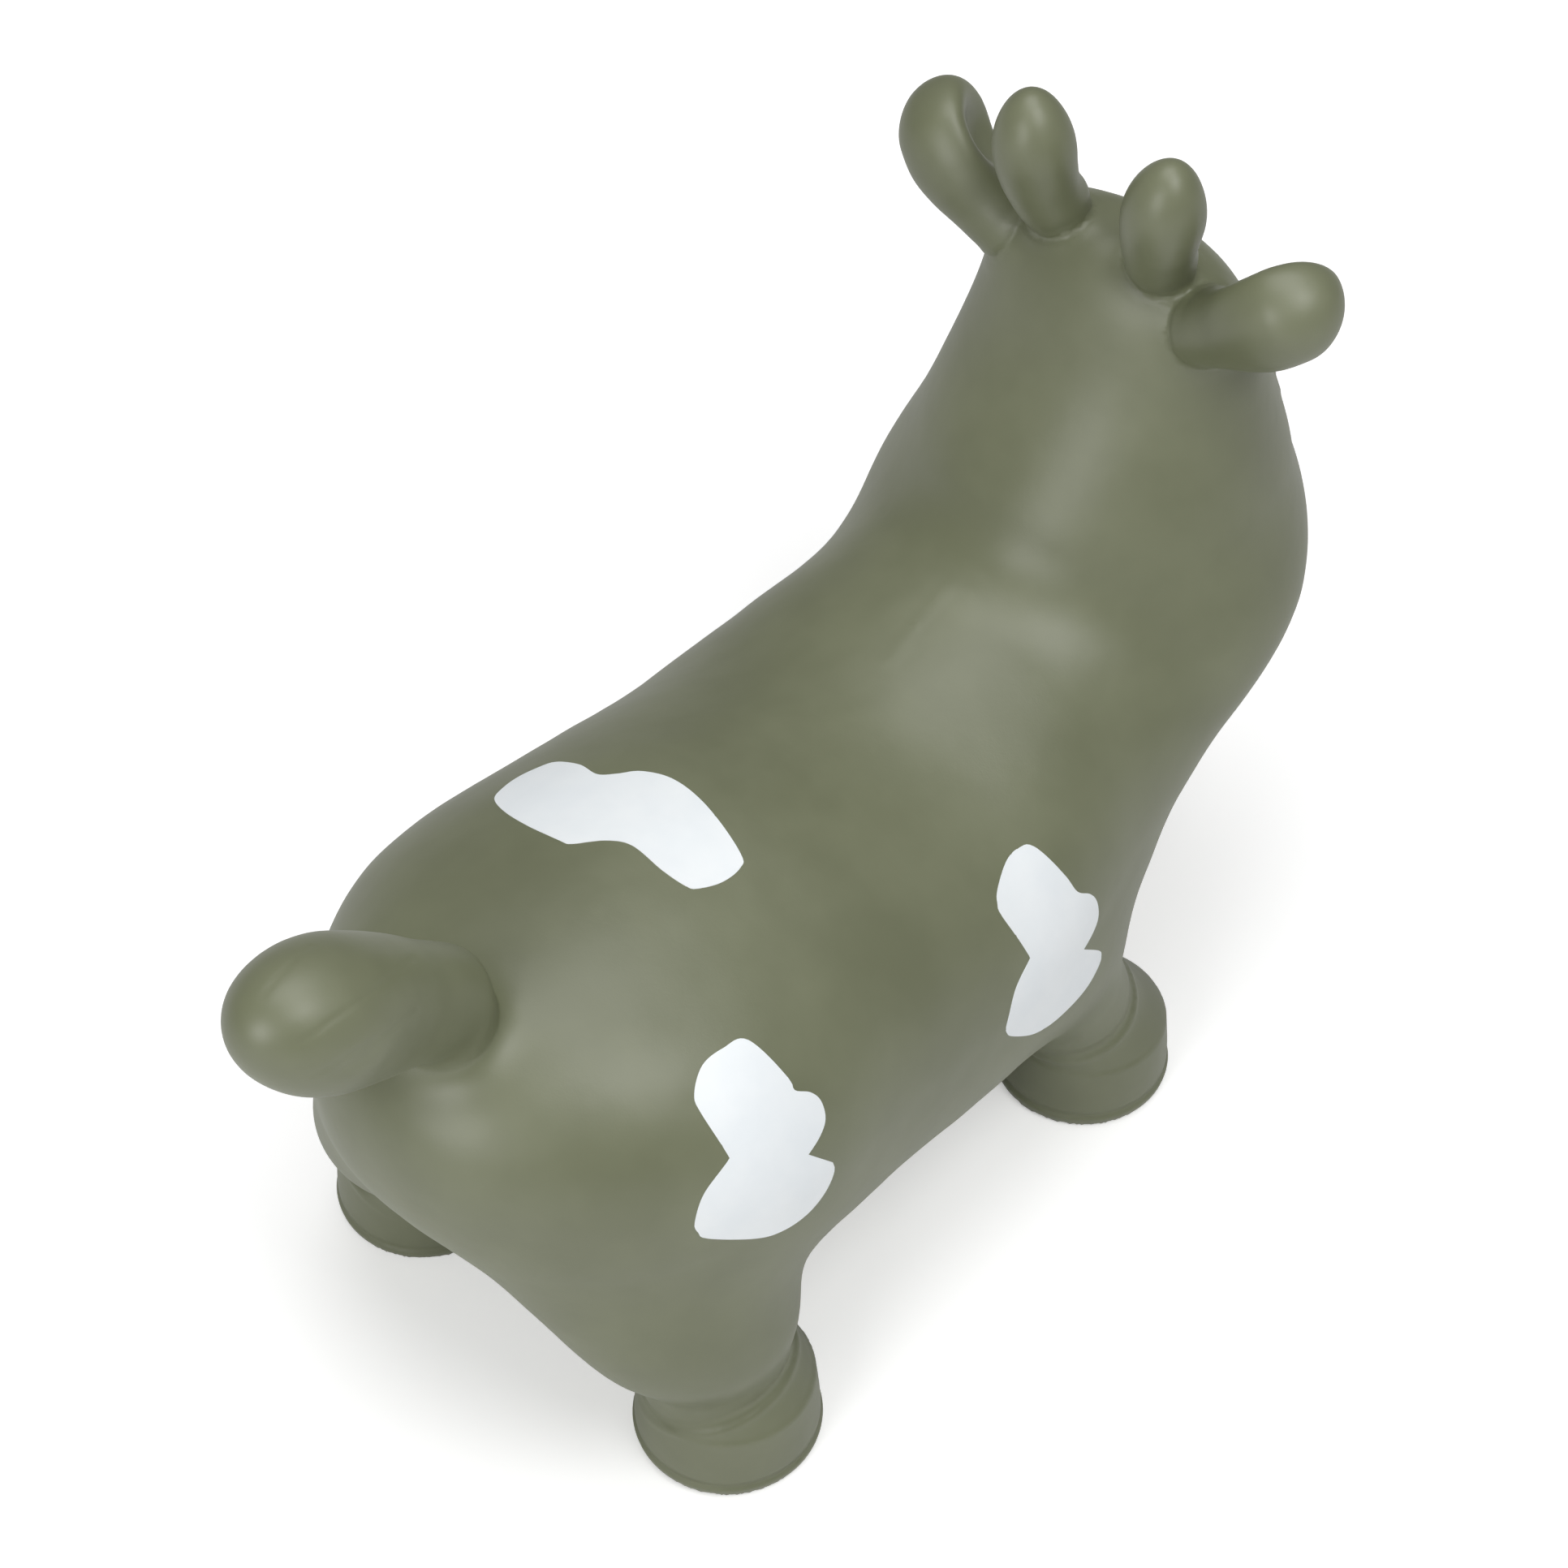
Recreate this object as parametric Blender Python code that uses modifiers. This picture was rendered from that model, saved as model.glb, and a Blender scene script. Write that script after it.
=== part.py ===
import math

import bmesh
import bpy
from mathutils import Matrix, Vector

# A blown-up rubber cow that a small child sits on and bounces. It faces -Y,
# its left side is +X and its soles stand on z = 0. All lengths are in metres.

# Driving dimensions
overall_length = 0.594
body_width = 0.272
overall_height = 0.462
wall = 0.0025
piece_gap = 0.0003

hoof_radius = 0.0422
hoof_height = 0.037
sole_thickness = 0.0040

ear_length = 0.068
ear_width = 0.0470
ear_thickness = 0.0490
ear_ball_radius = 0.0140
horn_length = 0.063
horn_width = 0.0366
horn_ball_radius = 0.0130
tail_length = 0.116
tail_width = 0.0580
tail_ball_radius = 0.0235
socket_gap = 0.0006

valve_seat_radius = 0.0150
valve_seat_thickness = 0.0058
valve_seat_lip = 0.0012
valve_hole_radius = 0.0042
plug_head_radius = 0.0090
plug_head_thickness = 0.0028
plug_shaft_radius = 0.0038
plug_shaft_length = 0.0130
plug_tip_radius = 0.0030
plug_rounding = 0.0009

# Corners round each kind of loft
body_corners = 28
head_corners = 24
limb_corners = 20
small_corners = 14

body_rings = 15
head_rings = 15

# Body: share along the body, then half width, top and bottom as shares of
# half the width and of the height, and how far the lower half widens. The
# chest is at -1 and the rump at 1.
body_front_share = -0.386
body_back_share = 0.412
body_rows_shares = [
    (-1.0, 0.72, 0.648, 0.165, 0.09),
    (-0.6, 0.79, 0.600, 0.146, 0.12),
    (-0.2, 0.84, 0.534, 0.142, 0.13),
    (0.2, 0.90, 0.562, 0.146, 0.04),
    (0.6, 1.04, 0.600, 0.156, 0.00),
    (1.0, 0.96, 0.655, 0.186, 0.00),
]
# How round each curve is: 1 is a true ellipse, and less is squarer
body_front_round_share = 0.77
body_back_round_share = 0.80
body_upper_round_share = 1.00
body_lower_round_share = 0.77

# Neck and head: share up from the foot of the neck to the crown, then the
# back, the front, half the width and how far the front narrows.
head_foot_share = 0.250
head_crown_share = 0.873
head_rows_shares = [
    (0.0, -0.090, -0.312, 0.450, 0.05, 0.00),
    (0.2, -0.105, -0.420, 0.700, 0.04, 0.05),
    (0.4, -0.183, -0.490, 0.780, 0.00, 0.10),
    (0.6, -0.224, -0.486, 0.635, -0.04, 0.12),
    (0.8, -0.281, -0.448, 0.528, -0.03, 0.08),
    (1.0, -0.302, -0.418, 0.520, 0.00, 0.00),
]
head_fade_share = 0.70
head_end_round_share = 0.87
head_start_share = 0.12

# The muzzle, a soft swelling low on the front of the head
muzzle_width = 0.126
muzzle_depth = 0.110
muzzle_height = 0.092
muzzle_along_share = -0.4134
muzzle_up_share = 0.505

# Legs: the middle of each sole and of each hip
front_foot_shares = (0.625, -0.194)
front_hip_shares = (0.420, -0.085)
rear_foot_shares = (0.684, 0.249)
rear_hip_shares = (0.300, 0.274)
hip_height_share = 0.333
front_leg_rows_shares = [
    (0.0, 0.920),
    (0.15, 0.835),
    (0.38, 0.940),
    (0.68, 1.150),
    (1.0, 1.100),
]
rear_leg_rows_shares = [
    (0.0, 0.920),
    (0.15, 0.865),
    (0.38, 1.200),
    (0.68, 1.370),
    (1.0, 1.250),
]
hoof_rows_shares = [
    (0.0, 0.940),
    (0.07, 0.990),
    (0.22, 1.015),
    (0.45, 1.000),
    (0.75, 0.975),
    (1.0, 0.955),
]

# Ears, horns and tail: share along the limb, half its width and half its
# depth as shares of its greatest width and depth, and how deep its cup is.
ear_rows_shares = [
    (0.22, 0.37, 0.39, 0.05),
    (0.36, 0.44, 0.45, 0.30),
    (0.50, 0.49, 0.49, 0.50),
    (0.64, 0.50, 0.50, 0.50),
    (0.78, 0.48, 0.48, 0.40),
    (0.89, 0.37, 0.37, 0.20),
    (0.96, 0.23, 0.23, 0.00),
]
horn_rows_shares = [
    (0.24, 0.395, 0.395, 0.0),
    (0.42, 0.450, 0.450, 0.0),
    (0.58, 0.500, 0.500, 0.0),
    (0.73, 0.475, 0.475, 0.0),
    (0.87, 0.365, 0.365, 0.0),
    (0.96, 0.215, 0.215, 0.0),
]
tail_rows_shares = [
    (0.22, 0.395, 0.395, 0.0),
    (0.38, 0.450, 0.450, 0.0),
    (0.54, 0.495, 0.495, 0.0),
    (0.70, 0.500, 0.500, 0.0),
    (0.83, 0.430, 0.430, 0.0),
    (0.93, 0.295, 0.295, 0.0),
    (0.985, 0.140, 0.140, 0.0),
]

# Where the ears and horns grow on the head: share up the head and the turn
# round it, measured from the animal's left towards its back.
ear_up_share = 0.905
ear_turn_degrees = 20
ear_heading_shares = (0.780, -0.184, 0.598)
ear_cup_lift_degrees = 40
horn_up_share = 0.970
horn_turn_degrees = 40
horn_heading_shares = (0.138, 0.150, 0.979)
tail_along_share = 0.82
root_rise_degrees = 12
root_straight_share = 0.42
ball_degrees = (-50, -34, -17, 0, 12, 24)
ball_hollow_degrees = (-25, 0, 24)
ball_mouth_share = 0.42
tail_heading_shares = (0.000, 0.826, 0.564)
valve_along_share = 0.10

rubber_colour = (0.223, 0.235, 0.163, 1.0)
plug_colour = (0.800, 0.800, 0.780, 1.0)


def clear_scene():
    for item in list(bpy.data.objects):
        bpy.data.objects.remove(item, do_unlink=True)


def make_material(name, colour, roughness):
    material = bpy.data.materials.new(name)
    material.use_nodes = True
    shader = material.node_tree.nodes["Principled BSDF"]
    shader.inputs["Base Color"].default_value = colour
    shader.inputs["Roughness"].default_value = roughness
    shader.inputs["Metallic"].default_value = 0.0
    return material


def make_collection(name):
    collection = bpy.data.collections.new(name)
    bpy.context.scene.collection.children.link(collection)
    return collection


def between(rows, share):
    """The values at a share of the way, on a smooth curve through the rows."""
    last = len(rows) - 1
    low = 0
    while low < last - 1 and share > rows[low + 1][0]:
        low += 1
    start, stop = rows[low], rows[low + 1]
    step = stop[0] - start[0]
    way = (share - start[0]) / step
    ease = way * way * (3 - 2 * way)
    values = []
    for column in range(1, len(start)):
        before, after = rows[max(low - 1, 0)], rows[min(low + 2, last)]
        leave = (stop[column] - before[column]) / (stop[0] - before[0])
        arrive = (after[column] - start[column]) / (after[0] - start[0])
        bend = leave * way * (1 - way) ** 2 - arrive * way * way * (1 - way)
        values.append(start[column] * (1 - ease) + stop[column] * ease + step * bend)
    return values


def rounded(angle, power):
    """Cosine and sine of a slightly squared circle."""
    across, up = math.cos(angle), math.sin(angle)
    size = (abs(across) ** power + abs(up) ** power) ** (-1 / power)
    return across * size, up * size


def turn(corner, corners):
    return 2 * math.pi * corner / corners


def body_place(share, inset):
    """The middle height, half sizes, y and low flare at a share of the body."""
    half_length = overall_length * (body_back_share - body_front_share) / 2
    middle = overall_length * (body_back_share + body_front_share) / 2
    width, top, bottom, flare = between(body_rows_shares, share)
    power = 2 / (body_back_round_share if share > 0 else body_front_round_share)
    fade = max(1 - abs(share) ** power, 0) ** (1 / power)
    half_width = (width * body_width / 2 - inset) * fade
    half_height = (overall_height * (top - bottom) / 2 - inset) * fade
    return (
        overall_height * (top + bottom) / 2,
        half_width,
        half_height,
        middle + share * (half_length - inset),
        flare,
    )


def body_point(share, angle, inset):
    height, half_width, half_height, along, flare = body_place(share, inset)
    round_share = body_upper_round_share if math.sin(angle) > 0 else body_lower_round_share
    across, up = rounded(angle, 2 / round_share)
    across *= 1 + flare * (1 - up) / 2
    return Vector((half_width * across, along, height + half_height * up))


def head_point(share, angle, inset):
    """A point on the head; the angle runs from its left over its back."""
    back, front, width, front_narrowing, back_narrowing = between(head_rows_shares, share)
    foot, crown = head_foot_share * overall_height, head_crown_share * overall_height
    beyond = max((share - head_fade_share) / (1 - head_fade_share), 0)
    fade = max(1 - beyond ** (2 / head_end_round_share), 0) ** (head_end_round_share / 2)
    middle = overall_length * (0.5 * back + 0.5 * front)
    length = (overall_length * (back - front) / 2 - inset) * fade
    half_width = (width * body_width / 2 - inset) * fade
    across, up = math.cos(angle), math.sin(angle)
    narrowing = front_narrowing if up < 0 else back_narrowing
    across *= 1 - narrowing * up * up
    return Vector((half_width * across, middle + length * up, foot + share * (crown - inset - foot)))


def leg_middle(foot_shares, hip_shares, share):
    low = Vector((foot_shares[0] * body_width / 2, foot_shares[1] * overall_length, hoof_height))
    high = Vector((hip_shares[0] * body_width / 2, hip_shares[1] * overall_length, 0))
    high.z = hip_height_share * overall_height
    return low.lerp(high, share)


def skin_normal(surface, share, angle):
    """The outward direction of a lofted surface."""
    step_share = 0.004
    along = surface(min(share + step_share, 1), angle, 0) - surface(share - step_share, angle, 0)
    around = surface(share, angle + step_share, 0) - surface(share, angle - step_share, 0)
    normal = along.cross(around).normalized()
    middle = surface(share, 0, 0).lerp(surface(share, math.pi, 0), 0.5)
    outward = surface(share, angle, 0) - middle
    if normal.dot(outward) < 0:
        normal.negate()
    return normal


def link_shape(shape, name, collection, material):
    """Make an object of a bmesh, shaded smooth with its sharp edges kept."""
    bmesh.ops.recalc_face_normals(shape, faces=shape.faces)
    mesh = bpy.data.meshes.new(name)
    shape.to_mesh(mesh)
    shape.free()
    mesh.shade_smooth()
    mesh.set_sharp_from_angle(angle=math.radians(50))
    item = bpy.data.objects.new(name, mesh)
    collection.objects.link(item)
    if material:
        mesh.materials.append(material)
    return item


def loft(name, rings, collection, material=None, tip=None, root=None):
    """Skin a row of rings; a tip or root point closes that end to a pole."""
    shape = bmesh.new()
    loops = [[shape.verts.new(point) for point in ring] for ring in rings]
    count = len(loops[0])
    for low, high in zip(loops, loops[1:]):
        for corner in range(count):
            after = (corner + 1) % count
            shape.faces.new((low[corner], low[after], high[after], high[corner]))
    for loop, pole in ((loops[0], root), (loops[-1], tip)):
        if pole is None:
            shape.faces.new(loop)
            continue
        point = shape.verts.new(pole)
        for corner in range(count):
            shape.faces.new((loop[corner], loop[(corner + 1) % count], point))
    return link_shape(shape, name, collection, material)


def cut(item, cutter, operation="DIFFERENCE"):
    modifier = item.modifiers.new(operation.lower() + " " + cutter.name, "BOOLEAN")
    modifier.operation = operation
    modifier.solver = "EXACT"
    modifier.object = cutter
    cutter.hide_render = True
    cutter.display_type = "WIRE"


def body_loft(name, inset, collection, material=None):
    rings = []
    for row in range(body_rings):
        angle = math.pi * ((row + 1) / (body_rings + 1) - 0.5)
        round_share = body_back_round_share if angle > 0 else body_front_round_share
        share = math.copysign(abs(math.sin(angle)) ** round_share, angle)
        ring = [body_point(share, turn(c, body_corners), inset) for c in range(body_corners)]
        rings.append(ring)
    return loft(
        name,
        rings,
        collection,
        material,
        tip=body_point(1, 0, inset),
        root=body_point(-1, 0, inset),
    )


def head_loft(name, inset, collection, material=None, lowest_share=0.0):
    rings = []
    for row in range(head_rings):
        way = row / head_rings
        share = lowest_share + (1 - lowest_share) * math.sin(math.pi / 2 * way**0.8)
        ring = [head_point(share, turn(c, head_corners), inset) for c in range(head_corners)]
        rings.append(ring)
    return loft(name, rings, collection, material, tip=head_point(1, 0, inset))


def leg_loft(name, side, foot_shares, hip_shares, rows, inset, collection, material=None, below=0.0):
    rings = []
    for share, size in rows:
        middle = leg_middle(foot_shares, hip_shares, share)
        if share == 0:
            middle.z += piece_gap - below
        radius = hoof_radius * size - inset
        ring = []
        for corner in range(limb_corners):
            angle = turn(corner, limb_corners)
            point = middle + Vector((radius * math.cos(angle), radius * math.sin(angle), 0))
            ring.append(Vector((side * point.x, point.y, point.z)))
        rings.append(ring)
    return loft(name, rings, collection, material)


def hoof(name, side, foot_shares, collection, material):
    """A cup with a thick flat sole, its mouth up to the leg."""
    middle = leg_middle(foot_shares, foot_shares, 0)
    rings = []
    inner = []
    for share, size in hoof_rows_shares:
        radius = hoof_radius * size
        for rows, inset, height in (
            (rings, 0.0, share * hoof_height),
            (inner, wall, sole_thickness + share * (hoof_height - sole_thickness)),
        ):
            ring = []
            for corner in range(limb_corners):
                angle = turn(corner, limb_corners)
                across = (radius - inset) * math.cos(angle)
                along = (radius - inset) * math.sin(angle)
                ring.append(Vector((side * (middle.x + across), middle.y + along, height)))
            rows.append(ring)
    rows = rings + inner[::-2]
    return loft(name, rows, collection, material)


def grow_path(pivot, normal, heading, length, share):
    """A point and direction on a limb that leaves along the skin's normal."""
    bend = pivot + normal * length * root_straight_share
    end = pivot + heading * length
    near = pivot.lerp(bend, share)
    far = bend.lerp(end, share)
    return near.lerp(far, share), (far - near).normalized()


def ball_limb(name, root, rows, sizes, inset, corners, collection, material=None):
    """A limb on a ball root, of a greatest width, depth and length."""
    pivot, axis, heading, cup_axis, ball_radius = root
    full_width, full_depth, length = sizes
    rings = []
    face = (cup_axis - axis * cup_axis.dot(axis)).normalized()
    side = face.cross(axis)
    for degrees in ball_degrees if inset == 0 else ball_hollow_degrees:
        angle = math.radians(degrees)
        radius = (ball_radius - inset) * math.cos(angle)
        middle = pivot + axis * (ball_radius - inset) * math.sin(angle)
        rings.append(oval(middle, side, face, radius, radius, 0, corners))
    if inset > 0:
        # the hollow breaks out through the foot of the ball
        radius = ball_mouth_share * ball_radius
        rings.insert(0, oval(pivot - axis * ball_radius, side, face, radius, radius, 0, corners))
    reach = length - inset
    for share, width_share, depth_share, cup in rows if inset == 0 else rows[::2]:
        half_width = full_width * width_share
        half_depth = full_depth * depth_share
        middle, direction = grow_path(pivot, axis, heading, reach, share)
        face = (cup_axis - direction * cup_axis.dot(direction)).normalized()
        side = face.cross(direction)
        width = max(half_width - inset, half_width / 3)
        depth = max(half_depth - inset, half_depth / 3)
        # the hollow's cup is as deep as the skin's, so the wall stays whole
        rings.append(oval(middle, side, face, width, depth, cup * half_depth / depth, corners))
    tip = grow_path(pivot, axis, heading, reach, 1)[0]
    return loft(name, rings, collection, material, tip=tip)


def oval(middle, side, face, half_width, half_depth, cup, corners):
    """An oval ring; a cup presses its +face half in along the middle."""
    ring = []
    for corner in range(corners):
        angle = turn(corner, corners)
        across, out = math.cos(angle), math.sin(angle)
        if out > 0:
            out -= cup * out * out * out
        ring.append(middle + side * half_width * across + face * half_depth * out)
    return ring


def ball(name, centre, sizes, collection):
    """A ball, or an egg with its own half width, depth and height."""
    shape = bmesh.new()
    place = Matrix.Translation(centre) @ Matrix.Diagonal((*sizes, 1))
    bmesh.ops.create_uvsphere(shape, u_segments=24, v_segments=14, radius=1, matrix=place)
    return link_shape(shape, name, collection, None)


def set_origin(item, place):
    """Move an object's origin to a place and leave its shape where it is."""
    item.data.transform(Matrix.Translation(-place))
    item.location = place


clear_scene()
parts = make_collection("bouncing_cow")
cutters = make_collection("cutters")
rubber = make_material("olive_rubber", rubber_colour, 0.45)
plug_plastic = make_material("white_plug", plug_colour, 0.35)

# The hollow body and the neck and head that grow from its shoulders
body = body_loft("body", 0.0, parts, rubber)
body_hollow = body_loft("body_hollow", wall, cutters)
body_clearance = body_loft("body_clearance", -piece_gap, cutters)
head = head_loft("head", 0.0, parts, rubber, head_start_share)
head_hollow = head_loft("head_hollow", wall, cutters)
muzzle_middle = Vector((0, muzzle_along_share * overall_length, muzzle_up_share * overall_height))
muzzle_sizes = Vector((muzzle_width, muzzle_depth, muzzle_height)) / 2
muzzle_hollow_sizes = muzzle_sizes - Vector((wall, wall, wall))
muzzle = ball("muzzle", muzzle_middle, muzzle_sizes, cutters)
muzzle_hollow = ball("muzzle_hollow", muzzle_middle, muzzle_hollow_sizes, cutters)
cut(body, body_hollow)
cut(body, head_hollow)
cut(head, muzzle, "UNION")
cut(head, body_clearance)
cut(head, head_hollow)
cut(head, muzzle_hollow)

# Four legs between the body and the hooves
front_leg = (front_foot_shares, front_hip_shares, front_leg_rows_shares)
rear_leg = (rear_foot_shares, rear_hip_shares, rear_leg_rows_shares)
feet = [
    ("front_left", 1, front_leg),
    ("front_right", -1, front_leg),
    ("rear_left", 1, rear_leg),
    ("rear_right", -1, rear_leg),
]
for place, side, form in feet:
    hoof("hoof_" + place, side, form[0], parts, rubber)
    leg = leg_loft("leg_" + place, side, *form, 0.0, parts, rubber)
    leg_hollow = leg_loft("leg_hollow_" + place, side, *form, wall, cutters, below=wall)
    cut(leg, body_clearance)
    cut(leg, leg_hollow)
    cut(body, leg_hollow)


def grow(name, owner, surface, place, side, heading, cup_axis, ball_radius, rows, sizes, corners):
    """Set a limb into the skin of its owner, with a round socket for its root."""
    mirror = Vector((side, 1, 1))
    normal = skin_normal(surface, *place)
    pivot = surface(*place, 0) + normal * ball_radius * math.sin(math.radians(root_rise_degrees))
    heading = Vector(heading).normalized()
    axis = (normal + heading).normalized()
    root = [v * mirror for v in (pivot, axis, heading, cup_axis)] + [ball_radius]
    limb = ball_limb(name, root, rows, sizes, 0.0, corners, parts, rubber)
    hollow = ball_limb(name + "_hollow", root, rows, sizes, wall, corners, cutters)
    socket = ball(name + "_socket", root[0], [ball_radius + socket_gap] * 3, cutters)
    for item in (limb, hollow, socket):
        set_origin(item, root[0])
    cut(limb, hollow)
    cut(owner, socket)


# Ears, horns and tail, each on a ball root in a round mouth in the skin
forward = Vector((0, -1, 0))
ear_heading = Vector(ear_heading_shares).normalized()
front = (forward - ear_heading * forward.dot(ear_heading)).normalized()
ear_cup = Matrix.Rotation(math.radians(-ear_cup_lift_degrees), 3, ear_heading) @ front
ear_place = (ear_up_share, math.radians(ear_turn_degrees))
ear_sizes = (ear_width, ear_thickness, ear_length)
horn_place = (horn_up_share, math.radians(horn_turn_degrees))
horn_sizes = (horn_width, horn_width, horn_length)
tail_sizes = (tail_width, tail_width, tail_length)
for place, side in (("left", 1), ("right", -1)):
    grow("ear_" + place, head, head_point, ear_place, side, ear_heading_shares, ear_cup,
         ear_ball_radius, ear_rows_shares, ear_sizes, small_corners)
    grow("horn_" + place, head, head_point, horn_place, side, horn_heading_shares, forward,
         horn_ball_radius, horn_rows_shares, horn_sizes, small_corners)
tail_place = (tail_along_share, math.pi / 2)
grow("tail", body, body_point, tail_place, 1, tail_heading_shares, forward,
     tail_ball_radius, tail_rows_shares, tail_sizes, limb_corners)

# The valve: a thick ring moulded into the belly and its pull-out plug


def turned(name, profile, place, collection, material):
    """Spin a profile that runs down its outer side into a solid about Z."""
    mesh = bpy.data.meshes.new(name)
    points = [(across, 0, up) for across, up in profile]
    closed = profile[0][0] > 0
    edges = [(n, n + 1) for n in range(len(points) - 1)]
    if closed:
        edges.append((len(points) - 1, 0))
    mesh.from_pydata(points, edges, [])
    mesh.materials.append(material)
    item = bpy.data.objects.new(name, mesh)
    collection.objects.link(item)
    item.location = place
    screw = item.modifiers.new("turn", "SCREW")
    screw.axis = "Z"
    screw.steps = screw.render_steps = 24
    screw.use_merge_vertices = True
    screw.merge_threshold = 0.00005
    screw.use_smooth_shade = True
    return item


belly = body_point(valve_along_share, -math.pi / 2, 0)
seat_low = -valve_seat_lip
seat_high = valve_seat_thickness - valve_seat_lip
seat_profile = [
    (valve_hole_radius, seat_high),
    (valve_seat_radius, seat_high),
    (valve_seat_radius, seat_low + plug_rounding),
    (valve_seat_radius - plug_rounding, seat_low),
    (valve_hole_radius, seat_low),
]
turned("valve_seat", seat_profile, belly, parts, rubber)
plug_high = seat_low - piece_gap
plug_low = plug_high - plug_head_thickness
shaft_top = plug_high + plug_shaft_length
plug_profile = [
    (0, shaft_top),
    (plug_tip_radius, shaft_top),
    (plug_shaft_radius, shaft_top - plug_rounding),
    (plug_shaft_radius, plug_high),
    (plug_head_radius - plug_rounding, plug_high),
    (plug_head_radius, plug_high - plug_rounding),
    (plug_head_radius, plug_low + plug_rounding),
    (plug_head_radius - plug_rounding, plug_low),
    (0, plug_low),
]
turned("valve_plug", plug_profile, belly, parts, plug_plastic)
opening = bmesh.new()
bmesh.ops.create_cone(
    opening,
    cap_ends=True,
    segments=24,
    radius1=valve_seat_radius + piece_gap,
    radius2=valve_seat_radius + piece_gap,
    depth=valve_seat_thickness * 4,
    matrix=Matrix.Translation(belly),
)
cut(body, link_shape(opening, "valve_opening", cutters, None))
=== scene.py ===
# A blown-up rubber cow that a small child sits on and bounces. It faces -Y, its left side is +X
# and its soles stand on z = 0. Lengths are in metres, and a name that ends in Mm is in millimetres.
import math

import bmesh
import bpy
from mathutils import Matrix, Vector, noise
from mathutils.bvhtree import BVHTree


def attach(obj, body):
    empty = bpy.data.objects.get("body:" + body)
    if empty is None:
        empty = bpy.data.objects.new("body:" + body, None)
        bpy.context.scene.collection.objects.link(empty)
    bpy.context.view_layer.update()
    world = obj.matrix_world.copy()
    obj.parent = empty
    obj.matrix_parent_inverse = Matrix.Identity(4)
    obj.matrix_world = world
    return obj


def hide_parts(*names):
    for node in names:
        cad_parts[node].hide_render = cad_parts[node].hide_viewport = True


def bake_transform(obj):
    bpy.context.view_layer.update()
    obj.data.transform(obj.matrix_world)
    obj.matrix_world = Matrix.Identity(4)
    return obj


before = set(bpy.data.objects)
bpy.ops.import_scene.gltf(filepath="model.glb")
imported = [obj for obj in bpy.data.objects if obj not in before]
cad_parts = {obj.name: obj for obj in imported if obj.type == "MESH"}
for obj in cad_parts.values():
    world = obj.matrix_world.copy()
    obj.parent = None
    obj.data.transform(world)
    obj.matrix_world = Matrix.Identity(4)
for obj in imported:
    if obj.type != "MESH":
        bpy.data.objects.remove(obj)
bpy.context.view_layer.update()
scene = bpy.context.scene
mm = 0.001
tiny = 1e-6


# The photograph's view: from behind, over the right hip
camera = {
    "turn": 221.53,
    "lift": 47.36,
    "distance": 1.5675,
    "lensMm": 82.6,
    "sensorMm": 36.0,
    "target": (0.0168, -0.0175, 0.1993),
}


def makeCamera():
    turn, lift = math.radians(camera["turn"]), math.radians(camera["lift"])
    back = Vector((math.sin(turn) * math.cos(lift), -math.cos(turn) * math.cos(lift), math.sin(lift)))
    lens = bpy.data.cameras.new("camera")
    lens.lens = camera["lensMm"]
    lens.sensor_width = camera["sensorMm"]
    holder = bpy.data.objects.new("camera", lens)
    scene.collection.objects.link(holder)
    holder.location = Vector(camera["target"]) + back * camera["distance"]
    holder.rotation_euler = back.to_track_quat("Z", "Y").to_euler()
    scene.camera = holder


makeCamera()
print("camera placed")


# Driving sizes, as in the CAD
cow = {"length": 0.594, "width": 0.272, "height": 0.462}


# A place on the cow's left side, or its mirror image on the right
def onSide(place, side):
    return Vector(place) * Vector((side, 1, 1))


# The values at a share of the way, on a smooth curve through the rows
def between(rows, share):
    last = len(rows) - 1
    low = 0
    while low < last - 1 and share > rows[low + 1][0]:
        low += 1
    start, stop = rows[low], rows[low + 1]
    step = stop[0] - start[0]
    way = (share - start[0]) / step
    ease = way * way * (3 - 2 * way)
    values = []
    for column in range(1, len(start)):
        before, after = rows[max(low - 1, 0)], rows[min(low + 2, last)]
        leave = (stop[column] - before[column]) / (stop[0] - before[0])
        arrive = (after[column] - start[column]) / (after[0] - start[0])
        bend = leave * way * (1 - way) ** 2 - arrive * way * way * (1 - way)
        values.append(start[column] * (1 - ease) + stop[column] * ease + step * bend)
    return values


# 0 below low, 1 above high, and a soft step between them
def smooth(low, high, value):
    way = min(max((value - low) / (high - low), 0), 1)
    return way * way * (3 - 2 * way)


# Trunk: share along it, then half width, top and bottom as shares, and how far the lower half flares
trunk = {
    "front": -0.386,
    "back": 0.412,
    "rows": [
        (-1.0, 0.72, 0.648, 0.165, 0.09),
        (-0.6, 0.79, 0.600, 0.146, 0.12),
        (-0.2, 0.84, 0.534, 0.142, 0.13),
        (0.2, 0.90, 0.562, 0.146, 0.04),
        (0.6, 1.04, 0.600, 0.156, 0.00),
        (1.0, 0.94, 0.655, 0.186, 0.00),
    ],
    "frontRound": 0.77,
    "backRound": 0.90,
    "lowerRound": 0.77,
    "columns": 288,
    "rings": 192,
}


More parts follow.
